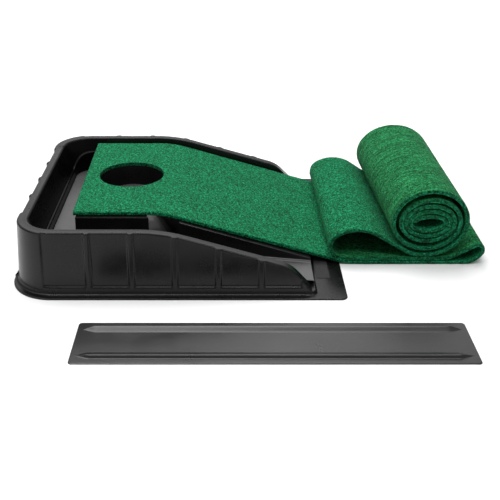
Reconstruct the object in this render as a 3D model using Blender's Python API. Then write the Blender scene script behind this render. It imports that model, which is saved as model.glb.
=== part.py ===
"""Practice putting mat: a formed plastic tray with a cup and a ball return, a
felt mat whose spare length is folded and rolled, a hook strip and a loose
return track.

Metres. X runs from the cup end to the rolled end, the return channel is on the
-Y side, Z is up and the floor is z = 0. Every piece is drawn in the tray's
plan, whose origin is the tray's front left corner, and the assembly empty
moves the whole set so that its plan is centred on the world origin.
"""

import math

import bmesh
import bpy
from mathutils import Vector

# Gap left between pieces that rest on each other.
CLEARANCE = 0.0003

# Tray, outside sizes.
TRAY_LENGTH = 0.499
TRAY_WIDTH = 0.456
TRAY_HEIGHT = 0.098
SHEET = 0.0022
FLANGE_SIDE = 0.012
FLANGE_LEFT = 0.005
FLANGE_CORNER = 0.066
LIP_LENGTH = 0.045
LIP_CORNER = 0.010
BODY_RIGHT = TRAY_LENGTH - LIP_LENGTH

# Outer wall: a plain skirt, then panels set back between ribs.
WALL_CORNER = 0.066
END_CORNER = 0.006
WALL_DRAFT = 0.07
COVE = 0.004
SKIRT_HEIGHT = 0.014
PANEL_RECESS = 0.003
RIB_WIDTH = 0.013
RIB_CREST_SHARE = 0.12
RIB_FLANK_SHARE = 0.28
RIB_FLANK_SET_BACK = 0.25
RIBS_LONG = 6
FIRST_RIB_LONG = FLANGE_LEFT + WALL_CORNER + 0.050
LAST_RIB_FROM_END = 0.018
RIB_PITCH_LONG = (BODY_RIGHT - LAST_RIB_FROM_END - FIRST_RIB_LONG) / (RIBS_LONG - 1)
RIBS_SHORT = 5
FIRST_RIB_SHORT = FLANGE_SIDE + WALL_CORNER + 0.010
RIB_PITCH_SHORT = (TRAY_WIDTH - 2 * FIRST_RIB_SHORT) / (RIBS_SHORT - 1)
CORNER_STEPS = 10

# Inside of the tray: trough at the left, deck, ramp down to the lip.
RIM_WIDTH_SIDE = 0.023
RIM_WIDTH_LEFT = 0.022
INNER_CORNER = 0.045
INNER_DRAFT = 0.05
TROUGH_DEPTH_Z = 0.040
TROUGH_RIGHT = 0.092
CHANNEL_END_Z = 0.008
BENCH_Z_LEFT = TROUGH_DEPTH_Z + 0.012
BENCH_Z_BACK = TRAY_HEIGHT - 0.025
BENCH_WIDTH_LEFT = 0.017
BENCH_WIDTH_BACK = 0.009
BENCH_CORNER = 0.036
BENCH_TOP_WIDTH = 0.001
PLATFORM_Z = TRAY_HEIGHT - 0.014
PLATFORM_DRAFT = 0.035
DECK_LENGTH = 0.130
CREST = TROUGH_RIGHT + DECK_LENGTH
CREST_RADIUS = 0.15
RAMP_OVER_LIP = 0.0003
RAMP_ANGLE = math.atan((PLATFORM_Z - SHEET - RAMP_OVER_LIP) / (TRAY_LENGTH - CREST))

# Rim, seen from the front: level, down beside the ramp, then steep to the lip.
RIM_LEVEL_END = CREST + 0.007
RIM_STEEP_START = BODY_RIGHT - 0.038
RIM_STEEP_RUN = 0.031
RIM_CREST_RADIUS = 0.25
RIM_NOSE_RADIUS = 0.06

# Felt mat.
FELT = 0.006
MAT_FRONT = 0.110
MAT_BACK_GAP = 0.006
MAT_WIDTH = TRAY_WIDTH - FLANGE_SIDE - RIM_WIDTH_SIDE - MAT_BACK_GAP - MAT_FRONT
MAT_START = TROUGH_RIGHT - 0.006
MAT_END_SKEW = 0.0035
HOLE_DIAMETER = 0.108
HOLE_X = TROUGH_RIGHT + 0.070
LAYER_GAP = 0.0006
LEFT_LOOP_X = TRAY_LENGTH - 0.018
LEFT_LOOP_RADIUS = 0.022
LEFT_LOOP_TURN = math.radians(150)
LEFT_LOOP_CREST_RADIUS = 0.060
LEFT_LOOP_FALL = math.radians(31)
EASE_RADIUS = 0.05
BEND_STEP = math.radians(10)
BEND_SAG = 0.00004
FOLD_STEP = 0.012

# Roll on top of the folds.
ROLL_X = LEFT_LOOP_X + 0.152
ROLL_WIDTH = 0.127
ROLL_HEIGHT = 0.117
HOLLOW_WIDTH = 0.038
HOLLOW_HEIGHT = 0.009
ROLL_TURNS = 4.75
ROLL_STEPS = 30

# The fold past the roll, where the felt leaves the floor and turns back.
RIGHT_LIFT_X = ROLL_X + 0.061
RIGHT_LIFT_RADIUS = 0.030
RIGHT_LIFT_ANGLE = math.radians(65)
RIGHT_LOOP_RADIUS = 0.009
RIGHT_LOOP_EXTRA = math.radians(30)

# Deck, cup and gutter under the mat.
PLATFORM_FRONT = MAT_FRONT - 0.008
CUP_RADIUS = HOLE_DIAMETER / 2 + 0.003
CUP_DRAFT = 0.006
CUP_FLOOR_Z = TROUGH_DEPTH_Z + 0.006
CUP_STEPS = 48
GUTTER_WIDTH = 0.044
GUTTER_EXIT = (HOLE_X + 0.074, PLATFORM_FRONT - 0.022)
GUTTER_EXIT_Z = TROUGH_DEPTH_Z - 0.009

# Hook strip stuck on the lip.
STRIP_LEFT = BODY_RIGHT + 0.004
STRIP_WIDTH = 0.021
STRIP_FRONT = 0.061
STRIP_LENGTH = TRAY_WIDTH - 2 * STRIP_FRONT
STRIP_THICKNESS = 0.0012

# Loose return track.
TRACK_LENGTH = 0.533
TRACK_WIDTH = 0.098
TRACK_SHEET = 0.0015
TRACK_CORNER = 0.005
TRACK_X = TRAY_LENGTH / 2 + 0.135
TRACK_FROM_TRAY = 0.062
RIDGE_HEIGHT = 0.0055
RIDGE_WIDTH = 0.014
RIDGE_FROM_CENTRE = TRACK_WIDTH / 2 - 0.018
RIDGE_END_MARGIN = 0.007
RIDGE_TAPER = 0.018
RIDGE_DRAFT = 0.0015

# How far cutting solids run past what they cut.
PAST = 0.02


def clear_scene():
    for obj in list(bpy.data.objects):
        bpy.data.objects.remove(obj)


def material(name, colour, roughness, metallic=0.0):
    made = bpy.data.materials.new(name)
    made.use_nodes = True
    shader = made.node_tree.nodes["Principled BSDF"]
    shader.inputs["Base Color"].default_value = (*colour, 1.0)
    shader.inputs["Roughness"].default_value = roughness
    shader.inputs["Metallic"].default_value = metallic
    return made


def mesh_object(name, points, faces):
    mesh = bpy.data.meshes.new(name)
    mesh.from_pydata(points, [], faces)
    shape = bmesh.new()
    shape.from_mesh(mesh)
    bmesh.ops.recalc_face_normals(shape, faces=shape.faces)
    shape.to_mesh(mesh)
    shape.free()
    obj = bpy.data.objects.new(name, mesh)
    bpy.context.scene.collection.objects.link(obj)
    return obj


def loft(name, rings):
    """A closed solid through rings that hold the same number of points."""
    count = len(rings[0])
    points = [point for one in rings for point in one]
    faces = [list(range(count))[::-1]]
    for level in range(len(rings) - 1):
        low = level * count
        for i in range(count):
            j = (i + 1) % count
            faces.append([low + i, low + j, low + count + j, low + count + i])
    last = (len(rings) - 1) * count
    faces.append(list(range(last, last + count)))
    return mesh_object(name, points, faces)


def side_prism(name, outline, front, back, draft=0.0, top=0.0):
    """An outline in X and Z, run along Y. The front face leans back by draft."""
    near = [(x, front - draft * (top - z), z) for x, z in outline]
    far = [(x, back, z) for x, z in outline]
    return loft(name, [near, far])


def plan_prism(name, outline, low, high):
    return loft(name, [[(x, y, z) for x, y in outline] for z in (low, high)])


def combine(target, other, operation):
    """Applies a Boolean with the other solid to the target and removes the other."""
    cut = target.modifiers.new(other.name, "BOOLEAN")
    cut.object = other
    cut.operation = operation
    cut.solver = "EXACT"
    graph = bpy.context.evaluated_depsgraph_get()
    result = bpy.data.meshes.new_from_object(target.evaluated_get(graph))
    target.modifiers.clear()
    target.data = result
    bpy.data.objects.remove(other)
    return target


def arc(centre_x, centre_y, radius, start, end, steps):
    angles = [start + (end - start) * i / steps for i in range(steps + 1)]
    return [
        (centre_x + radius * math.cos(a), centre_y + radius * math.sin(a))
        for a in angles
    ]


def shifted(corners, distance):
    """A left-to-right line through corners, moved down by a distance square to it."""
    lines = []
    for (x0, z0), (x1, z1) in zip(corners, corners[1:]):
        along = Vector((x1 - x0, z1 - z0)).normalized()
        down = Vector((along.y, -along.x)) * distance
        lines.append((Vector((x0, z0)) + down, along))
    moved = [tuple(lines[0][0])]
    for (point, along), (other, turned) in zip(lines, lines[1:]):
        cross = along.x * turned.y - along.y * turned.x
        gap = other - point
        run = (gap.x * turned.y - gap.y * turned.x) / cross
        moved.append(tuple(point + along * run))
    (x0, z0), (x1, z1) = corners[-2:]
    length = math.hypot(x1 - x0, z1 - z0)
    point, along = lines[-1]
    moved.append(tuple(point + along * length))
    return moved


def rounded(corners, radii, steps):
    """A line through corners, with an arc in place of each corner given a radius."""
    line = [corners[0]]
    for i in range(1, len(corners) - 1):
        before = (Vector(corners[i - 1]) - Vector(corners[i])).normalized()
        after = (Vector(corners[i + 1]) - Vector(corners[i])).normalized()
        radius = radii[i - 1]
        if radius == 0:
            line.append(corners[i])
            continue
        half = before.angle(after) / 2
        middle = (before + after).normalized()
        centre = Vector(corners[i]) + middle * (radius / math.sin(half))
        tangent = radius / math.tan(half)
        start = Vector(corners[i]) + before * tangent - centre
        end = Vector(corners[i]) + after * tangent - centre
        first = math.atan2(start.y, start.x)
        turn = math.atan2(start.x * end.y - start.y * end.x, start.dot(end))
        line += arc(centre.x, centre.y, radius, first, first + turn, steps)
    line.append(corners[-1])
    return line


# Tray


def rib_stations(start, end, first, pitch, count):
    """Positions along a wall, each with 1 on a set-back panel and 0 on a rib."""
    edge = RIB_WIDTH / 4
    stations = [(start, 0.0), (start + edge, 1.0)]
    for i in range(count):
        middle = first + pitch * i
        for side in (-1, 1):
            half = [(0.5, 1.0), (RIB_FLANK_SHARE, RIB_FLANK_SET_BACK), (RIB_CREST_SHARE, 0.0)]
            for share, set_back in half[::-side]:
                stations.append((middle + side * share * RIB_WIDTH, set_back))
    return stations + [(end - edge, 1.0), (end, 0.0)]


LONG_STATIONS = rib_stations(
    FLANGE_LEFT + WALL_CORNER,
    BODY_RIGHT - END_CORNER,
    FIRST_RIB_LONG,
    RIB_PITCH_LONG,
    RIBS_LONG,
)
SHORT_STATIONS = rib_stations(
    FLANGE_SIDE + WALL_CORNER,
    TRAY_WIDTH - FLANGE_SIDE - WALL_CORNER,
    TRAY_WIDTH / 2 - RIB_PITCH_SHORT * (RIBS_SHORT - 1) / 2,
    RIB_PITCH_SHORT,
    RIBS_SHORT,
)


def tray_ring(left, right, front, back, left_radius, right_radius, z, set_back=0.0):
    """A rounded rectangle at one height, with its straight sides set back between ribs."""
    turn = math.pi / 2
    near = [(x, front + set_back * share) for x, share in LONG_STATIONS]
    far = [(x, back - set_back * share) for x, share in LONG_STATIONS]
    end = [(left + set_back * share, y) for y, share in SHORT_STATIONS]
    line = near
    line += arc(right - right_radius, front + right_radius, right_radius, -turn, 0, CORNER_STEPS)
    line += arc(right - right_radius, back - right_radius, right_radius, 0, turn, CORNER_STEPS)
    line += far[::-1]
    line += arc(left + left_radius, back - left_radius, left_radius, turn, 2 * turn, CORNER_STEPS)
    line += end[::-1]
    line += arc(left + left_radius, front + left_radius, left_radius, 2 * turn, 3 * turn, CORNER_STEPS)
    return [(x, y, z) for x, y in line]


def wall_ring(inset, z, set_back=0.0):
    end_inset = min(inset, END_CORNER / 2)
    return tray_ring(
        FLANGE_LEFT + inset,
        BODY_RIGHT - end_inset,
        FLANGE_SIDE + inset,
        TRAY_WIDTH - FLANGE_SIDE - inset,
        WALL_CORNER - inset,
        END_CORNER - end_inset,
        z,
        set_back,
    )


def rim_profile(inset):
    steep_z = TRAY_HEIGHT - (RIM_STEEP_START - RIM_LEVEL_END) * math.tan(RAMP_ANGLE)
    steep_end = RIM_STEEP_START + RIM_STEEP_RUN
    corners = [
        (-PAST, TRAY_HEIGHT),
        (RIM_LEVEL_END, TRAY_HEIGHT),
        (RIM_STEEP_START, steep_z),
        (steep_end, CHANNEL_END_Z),
        (TRAY_LENGTH + PAST, CHANNEL_END_Z),
    ]
    radii = (RIM_CREST_RADIUS, RIM_NOSE_RADIUS, 0)
    return rounded(shifted(corners, inset), radii, CORNER_STEPS)


def outer_solid(inset):
    """The tray's outside as a full block, with the flange only at no inset."""
    skirt = WALL_DRAFT * SKIRT_HEIGHT
    top = TRAY_HEIGHT + PAST
    rings = [
        wall_ring(inset + skirt, SKIRT_HEIGHT - inset),
        wall_ring(inset + skirt, SKIRT_HEIGHT - inset + PANEL_RECESS / 4, PANEL_RECESS),
        wall_ring(inset + WALL_DRAFT * top, top, PANEL_RECESS),
    ]
    if inset > 0:
        rings.insert(0, wall_ring(inset, -2 * PAST))
    else:
        flange = (0, TRAY_LENGTH, 0, TRAY_WIDTH, FLANGE_CORNER, LIP_CORNER)
        rings = [
            tray_ring(*flange, -PAST),
            tray_ring(*flange, SHEET),
            wall_ring(-COVE, SHEET),
            wall_ring(-COVE / 4, SHEET + COVE / 3),
            wall_ring(0, SHEET + COVE),
        ] + rings
    solid = loft("outer", rings)
    under = [(TRAY_LENGTH + PAST, -3 * PAST), (-PAST, -3 * PAST)]
    below_rim = side_prism("below_rim", rim_profile(inset) + under, -PAST, TRAY_WIDTH + PAST)
    return combine(solid, below_rim, "INTERSECT")


def inner_ring(outset, z):
    drop = (TRAY_HEIGHT - z) * INNER_DRAFT - outset
    left = FLANGE_LEFT + RIM_WIDTH_LEFT + drop
    front = FLANGE_SIDE + RIM_WIDTH_SIDE + drop
    radius = INNER_CORNER - drop
    back = TRAY_WIDTH - front
    right = TRAY_LENGTH + PAST
    turn = math.pi / 2
    line = [(right, front), (right, back)]
    line += arc(left + radius, back - radius, radius, turn, 2 * turn, CORNER_STEPS)
    line += arc(left + radius, front + radius, radius, 2 * turn, 3 * turn, CORNER_STEPS)
    return [(x, y, z) for x, y in line]


def hollow(outset):
    """The open space inside the rim, down to the trough and the sloping channel."""
    space = loft("space", [inner_ring(outset, -PAST), inner_ring(outset, TRAY_HEIGHT + 2 * PAST)])
    end = TRAY_LENGTH + 2 * PAST
    floor = [
        (-PAST, TROUGH_DEPTH_Z),
        (TROUGH_RIGHT, TROUGH_DEPTH_Z),
        (BODY_RIGHT, CHANNEL_END_Z),
        (end, CHANNEL_END_Z - (end - BODY_RIGHT) * (TROUGH_DEPTH_Z - CHANNEL_END_Z) / BODY_RIGHT),
    ]
    line = [(x, z - outset) for x, z in floor]
    slab = side_prism("slab", line + [(end, -2 * PAST), (-PAST, -2 * PAST)], -PAST, TRAY_WIDTH + PAST)
    return combine(space, slab, "DIFFERENCE")


def bench_ring(width_left, width_back, radius, inset, level_left, level_back):
    """One level of the bench. It climbs from its left side to its back."""
    wall_left = FLANGE_LEFT + RIM_WIDTH_LEFT
    wall_back = TRAY_WIDTH - FLANGE_SIDE - RIM_WIDTH_SIDE
    left, back = wall_left + width_left - inset, wall_back - width_back + inset
    outer_left, outer_back = wall_left - 2 * SHEET, wall_back + 2 * SHEET
    outer_front = TRAY_WIDTH - outer_back
    end = TROUGH_RIGHT + 2 * SHEET
    turn = math.pi / 2
    r = INNER_CORNER
    front_corner = arc(outer_left + r, outer_front + r, r, 3 * turn, 2 * turn, CORNER_STEPS)
    line = [(left, outer_front)]
    line += [(min(x, left - BENCH_TOP_WIDTH), y) for x, y in front_corner]
    line += arc(outer_left + r, outer_back - r, r, 2 * turn, turn, CORNER_STEPS)
    line += [(end, outer_back), (end, back)]
    line += arc(left + radius, back - radius, radius, turn, 2 * turn, CORNER_STEPS)
    ring = []
    for x, y in line[::-1]:
        climb = min(max((y - back + radius) / radius, 0), 1)
        ring.append((x, y, level_left + (level_back - level_left) * climb - inset))
    return ring


def bench(inset):
    """The leaning lower wall and the riser round the left and back of the trough."""
    nose = (BENCH_WIDTH_LEFT, BENCH_WIDTH_BACK, BENCH_CORNER + inset, inset)
    crown = (BENCH_TOP_WIDTH, BENCH_TOP_WIDTH, INNER_CORNER + inset, inset)
    low, top = CHANNEL_END_Z / 2, TRAY_HEIGHT - SHEET
    return loft(
        "bench",
        [
            bench_ring(*nose, low, low),
            bench_ring(*nose, BENCH_Z_LEFT, BENCH_Z_BACK),
            bench_ring(*crown, top, top),
        ],
    )


def ramp_profile(inset):
    foot_z = PLATFORM_Z - (BODY_RIGHT - CREST) * math.tan(RAMP_ANGLE)
    corners = [
        (TROUGH_RIGHT, PLATFORM_Z),
        (CREST, PLATFORM_Z),
        (BODY_RIGHT - SHEET, foot_z),
    ]
    line = rounded(shifted(corners, inset), (CREST_RADIUS,), CORNER_STEPS)
    left, right = line[0][0] + inset, line[-1][0]
    line = [(left, line[0][1])] + line[1:-1]
    end_z = foot_z - inset
    line.append((right, end_z))
    return line


def platform(inset):
    """The deck that carries the mat, with the cup and its gutter cut out."""
    line = ramp_profile(inset)
    low = -PAST / 2 - inset
    outline = line + [(line[-1][0], low), (line[0][0] - PLATFORM_DRAFT * PLATFORM_Z, low)]
    front = PLATFORM_FRONT + inset
    back = TRAY_WIDTH - FLANGE_SIDE - RIM_WIDTH_SIDE + SHEET * 2
    deck = side_prism("deck", outline, front, back, PLATFORM_DRAFT, PLATFORM_Z)
    middle = MAT_FRONT + MAT_WIDTH / 2
    full = 2 * math.pi * (1 - 1 / CUP_STEPS)
    rings = []
    for z, radius in (
        (CUP_FLOOR_Z - inset, CUP_RADIUS - CUP_DRAFT + inset),
        (PLATFORM_Z + PAST, CUP_RADIUS + inset),
    ):
        circle = arc(HOLE_X, middle, radius, 0, full, CUP_STEPS - 1)
        rings.append([(x, y, z) for x, y in circle])
    combine(deck, loft("cup", rings), "DIFFERENCE")
    start = Vector((HOLE_X, middle))
    along = (Vector(GUTTER_EXIT) - start).normalized()
    across = Vector((-along.y, along.x)) * (GUTTER_WIDTH / 2 + inset)
    ends = [
        (start, CUP_FLOOR_Z - inset),
        (Vector(GUTTER_EXIT), GUTTER_EXIT_Z - inset),
    ]
    faces = []
    for point, z in ends:
        a, b = point - across, point + across
        top = PLATFORM_Z + PAST
        faces.append([(a.x, a.y, z), (b.x, b.y, z), (b.x, b.y, top), (a.x, a.y, top)])
    return combine(deck, loft("gutter", faces), "DIFFERENCE")


def tray_block(inset):
    """Everything under the tray's upper surface, moved in by the given distance."""
    block = outer_solid(inset)
    combine(block, hollow(inset), "DIFFERENCE")
    combine(block, bench(inset), "UNION")
    return combine(block, platform(inset), "UNION")


def make_tray():
    tray = tray_block(0.0)
    combine(tray, tray_block(SHEET), "DIFFERENCE")
    far = TRAY_LENGTH + 2 * PAST
    square = [(-PAST, -PAST), (far, -PAST), (far, TRAY_WIDTH + PAST), (-PAST, TRAY_WIDTH + PAST)]
    combine(tray, plan_prism("under_floor", square, -4 * PAST, 0), "DIFFERENCE")
    tray.name = "tray"
    return tray


# Felt mat


def straight(path, length, step=FOLD_STEP):
    x, z, heading = path[-1]
    count = max(1, math.ceil(length / step))
    for i in range(1, count + 1):
        run = length * i / count
        path.append((x + run * math.cos(heading), z + run * math.sin(heading), heading))


def bend(path, radius, angle):
    """Turns left for a positive angle and right for a negative one."""
    x, z, heading = path[-1]
    side = math.copysign(1, angle)
    centre_x = x - side * radius * math.sin(heading)
    centre_z = z + side * radius * math.cos(heading)
    step = min(BEND_STEP, 2 * math.acos(1 - BEND_SAG / radius))
    count = math.ceil(abs(angle) / step)
    for i in range(1, count + 1):
        turned = heading + angle * i / count
        path.append(
            (
                centre_x + side * radius * math.sin(turned),
                centre_z - side * radius * math.cos(turned),
                turned,
            )
        )


def fall_length(path, target_z, radius):
    """Straight length that lets a bend back to level finish at a height."""
    z, heading = path[-1][1:]
    slope = abs(math.sin(heading))
    return (z - target_z - radius * (1 - abs(math.cos(heading)))) / slope


def mat_path():
    """The middle of the felt from its cup end to the end inside the roll."""
    floor_z = FELT / 2
    second_z = floor_z + FELT + LAYER_GAP
    third_z = second_z + FELT + LAYER_GAP
    path = [(MAT_START, PLATFORM_Z + CLEARANCE + FELT / 2, 0.0)]
    crest_start = CREST - CREST_RADIUS * math.tan(RAMP_ANGLE / 2)
    straight(path, crest_start - MAT_START)
    bend(path, CREST_RADIUS + CLEARANCE + FELT / 2, -RAMP_ANGLE)
    straight(path, fall_length(path, floor_z, EASE_RADIUS), 2 * FOLD_STEP)
    bend(path, EASE_RADIUS, RAMP_ANGLE)
    straight(path, RIGHT_LIFT_X - path[-1][0], 2 * FOLD_STEP)
    bend(path, RIGHT_LIFT_RADIUS, RIGHT_LIFT_ANGLE)
    bend(path, RIGHT_LOOP_RADIUS, math.pi + RIGHT_LOOP_EXTRA - RIGHT_LIFT_ANGLE)
    straight(path, fall_length(path, second_z, EASE_RADIUS))
    bend(path, EASE_RADIUS, -RIGHT_LOOP_EXTRA)
    left_centre = LEFT_LOOP_X + FELT / 2 + LEFT_LOOP_RADIUS
    straight(path, path[-1][0] - left_centre)
    bend(path, LEFT_LOOP_RADIUS, -LEFT_LOOP_TURN)
    bend(path, LEFT_LOOP_CREST_RADIUS, LEFT_LOOP_TURN - math.pi - LEFT_LOOP_FALL)
    straight(path, fall_length(path, third_z, EASE_RADIUS))
    bend(path, EASE_RADIUS, LEFT_LOOP_FALL)
    straight(path, ROLL_X - path[-1][0])
    wide, high = (ROLL_WIDTH - FELT) / 2, (ROLL_HEIGHT - FELT) / 2
    inner_wide, inner_high = (HOLLOW_WIDTH + FELT) / 2, (HOLLOW_HEIGHT + FELT) / 2
    centre_z = third_z + high
    count = math.ceil(ROLL_TURNS * ROLL_STEPS)
    full = 2 * math.pi * ROLL_TURNS
    spiral = []
    for i in range(count + 1):
        share = i / count
        angle = -math.pi / 2 + full * share
        a = wide + (inner_wide - wide) * share
        b = high + (inner_high - high) * share
        spiral.append((ROLL_X + a * math.cos(angle), centre_z + b * math.sin(angle)))
    for i in range(1, count + 1):
        before, after = spiral[i - 1], spiral[min(i + 1, count)]
        heading = math.atan2(after[1] - before[1], after[0] - before[0])
        path.append((*spiral[i], heading))
    return path


def make_mat():
    middle = Vector((HOLE_X, MAT_FRONT + MAT_WIDTH / 2, PLATFORM_Z))
    half = MAT_WIDTH / 2
    points = []
    path = mat_path()
    for i, (x, z, heading) in enumerate(path):
        across = Vector((-math.sin(heading), math.cos(heading))) * (FELT / 2)
        skew = MAT_END_SKEW / 2 if i == 0 else 0.0
        for y, shift in ((-half, skew), (half, -skew)):
            for side in (-1, 1):
                at_x = x + shift + side * across.x - middle.x
                points.append((at_x, y, z + side * across.y - middle.z))
    faces = [[0, 1, 3, 2]]
    for i in range(len(path) - 1):
        a, b = 4 * i, 4 * (i + 1)
        for first, second in ((0, 1), (1, 3), (3, 2), (2, 0)):
            faces.append([a + first, a + second, b + second, b + first])
    last = 4 * (len(path) - 1)
    faces.append([last, last + 2, last + 3, last + 1])
    mat = mesh_object("felt_mat", points, faces)
    full = 2 * math.pi * (1 - 1 / CUP_STEPS)
    circle = arc(0, 0, HOLE_DIAMETER / 2, 0, full, CUP_STEPS - 1)
    combine(mat, plan_prism("hole", circle, -PLATFORM_Z / 2, 3 * FELT), "DIFFERENCE")
    mat.location = middle
    return mat


# Hook strip and return track


def box(name, low, high):
    outline = [(low[0], low[1]), (high[0], low[1]), (high[0], high[1]), (low[0], high[1])]
    return plan_prism(name, outline, low[2], high[2])


def make_strip():
    low_z = SHEET + CLEARANCE
    return box(
        "hook_strip",
        (STRIP_LEFT, STRIP_FRONT, low_z),
        (STRIP_LEFT + STRIP_WIDTH, STRIP_FRONT + STRIP_LENGTH, low_z + STRIP_THICKNESS),
    )


def ridge(side, inset):
    """A long low ridge with pointed ends, as a full block."""
    rings = []
    for z, lean in ((-PAST * (inset > 0) + TRACK_SHEET / 2, 0.0), (RIDGE_HEIGHT - inset, RIDGE_DRAFT)):
        half = RIDGE_WIDTH / 2 - lean - inset
        tip = TRACK_LENGTH / 2 - RIDGE_END_MARGIN - 2 * (lean + inset)
        shoulder = tip - RIDGE_TAPER
        middle = side * RIDGE_FROM_CENTRE
        rings.append(
            [
                (-tip, middle, z),
                (-shoulder, middle - half, z),
                (shoulder, middle - half, z),
                (tip, middle, z),
                (shoulder, middle + half, z),
                (-shoulder, middle + half, z),
            ]
        )
    return loft("ridge", rings)


def make_track():
    x, y, r = TRACK_LENGTH / 2, TRACK_WIDTH / 2, TRACK_CORNER
    turn = math.pi / 2
    outline = []
    for i, (cx, cy) in enumerate(((x - r, y - r), (r - x, y - r), (r - x, r - y), (x - r, r - y))):
        outline += arc(cx, cy, r, turn * i, turn * (i + 1), CORNER_STEPS // 2)
    track = plan_prism("return_track", outline, 0, TRACK_SHEET)
    for side in (-1, 1):
        combine(track, ridge(side, 0.0), "UNION")
    for side in (-1, 1):
        combine(track, ridge(side, TRACK_SHEET), "DIFFERENCE")
    track.location = (TRACK_X, -TRACK_FROM_TRAY - TRACK_WIDTH / 2, 0)
    return track


def finish(obj, made_of, sharp):
    """Gives a piece its one material and smooth shading up to the sharp angle."""
    obj.data.materials.clear()
    obj.data.materials.append(made_of)
    for face in obj.data.polygons:
        face.material_index = 0
    obj.data.shade_smooth()
    obj.data.set_sharp_from_angle(angle=sharp)


def main():
    clear_scene()
    pieces = {
        make_tray(): material("tray_plastic", (0.012, 0.012, 0.013), 0.22),
        make_mat(): material("green_felt", (0.018, 0.22, 0.085), 0.95),
        make_strip(): material("hook_tape", (0.02, 0.02, 0.022), 0.8),
        make_track(): material("track_plastic", (0.02, 0.02, 0.021), 0.3),
    }
    assembly = bpy.data.objects.new("assembly", None)
    bpy.context.scene.collection.objects.link(assembly)
    for obj, made_of in pieces.items():
        finish(obj, made_of, math.radians(25))
        obj.parent = assembly
    spans = [
        [obj.location + point.co for point in obj.data.vertices] for obj in pieces
    ]
    points = [point for span in spans for point in span]
    middle_x = (min(p.x for p in points) + max(p.x for p in points)) / 2
    middle_y = (min(p.y for p in points) + max(p.y for p in points)) / 2
    assembly.location = (-middle_x, -middle_y, 0)


main()
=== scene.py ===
"""Looks of the practice putting mat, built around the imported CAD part."""

import math

import bmesh
import bpy
import numpy as np
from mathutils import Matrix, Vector, noise


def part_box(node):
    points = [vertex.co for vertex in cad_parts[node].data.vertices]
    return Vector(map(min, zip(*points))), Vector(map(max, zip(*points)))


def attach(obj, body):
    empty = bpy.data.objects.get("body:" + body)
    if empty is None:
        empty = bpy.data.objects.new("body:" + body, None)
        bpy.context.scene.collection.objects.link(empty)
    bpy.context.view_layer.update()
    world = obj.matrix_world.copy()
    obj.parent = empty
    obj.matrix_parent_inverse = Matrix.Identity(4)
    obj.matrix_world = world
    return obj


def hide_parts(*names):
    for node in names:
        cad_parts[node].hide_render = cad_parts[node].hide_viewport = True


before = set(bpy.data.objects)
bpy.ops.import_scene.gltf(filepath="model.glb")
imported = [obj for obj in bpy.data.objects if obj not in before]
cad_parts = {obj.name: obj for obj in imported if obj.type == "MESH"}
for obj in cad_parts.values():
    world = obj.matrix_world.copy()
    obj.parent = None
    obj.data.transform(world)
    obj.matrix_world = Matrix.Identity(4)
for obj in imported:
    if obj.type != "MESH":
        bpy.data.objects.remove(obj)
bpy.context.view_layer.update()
TRAY_LOW, TRAY_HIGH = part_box("tray")
MAT_LOW, MAT_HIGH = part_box("felt_mat")
TRACK_LOW, TRACK_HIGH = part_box("return_track")
STRIP_LOW, STRIP_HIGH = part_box("hook_strip")

# Sizes in millimetres, in the tray's own plan: its front left corner is 0, 0.
MM = 0.001
LENGTH, WIDTH, HEIGHT, SHEET = 499.0, 456.0, 98.0, 2.2
FLANGE_SIDE, FLANGE_LEFT, FLANGE_CORNER = 12.0, 5.0, 66.0
LIP, LIP_CORNER = 45.0, 10.0
BODY_RIGHT = LENGTH - LIP
WALL_CORNER, END_CORNER = 66.0, 6.0
WALL_DRAFT, RECESS, SKIRT = 0.07, 3.0, 14.0
RIB_HALF = 6.5
RIBS_LONG = [121.0 + 63.0 * i for i in range(6)]
RIBS_SHORT = [WIDTH / 2 + 70.0 * (i - 2) for i in range(5)]
RIM_SIDE, RIM_LEFT, INNER_CORNER, INNER_DRAFT = 23.0, 22.0, 45.0, 0.05
RAMP = math.radians(16.4)
TROUGH_Z, TROUGH_RIGHT, CHANNEL_END_Z = 40.0, 92.0, 8.0
DECK_Z, DECK_FRONT, CREST, CREST_RADIUS = 84.0, 102.0, 222.0, 150.0
HOLE_X, HOLE_Y, HOLE_RADIUS = 162.0, 262.5, 54.0
FELT, MAT_FRONT, MAT_WIDTH = 6.0, 110.0, 305.0
MAT_START, MAT_END_SKEW = 86.0, 3.5
CORNER_POINTS = 90
RIM_LEVEL_END, RIM_STEEP_START, RIM_STEEP_END = 229.0, 416.0, 447.0
INNER_CORNER_X, INNER_CORNER_FRONT, INNER_CORNER_BACK = 72.0, 80.0, 376.0
GUTTER_EXIT, GUTTER_START_Z, GUTTER_EXIT_Z, GUTTER_WIDTH = (236.0, 80.0), 47.4, 31.0, 44.0
CUP_LOW_RADIUS, CUP_HIGH_RADIUS, DECK_DRAFT = 51.0, 57.0, 0.035
BENCH_CROWN_RADIUS, BENCH_CROWN_Z = 44.6, 96.5
BENCH_NOSE_X, BENCH_NOSE_RADIUS, BENCH_NOSE_Z, BENCH_CLIMB = 44.0, 36.0, 52.0, 21.0
SEAT_GAP, LAYER_GAP, CUTTER_TOP = 0.3, 0.6, 110.0
LEDGE_LOW, LEDGE_HIGH = SKIRT - 2.4, SKIRT + 2.2

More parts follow.
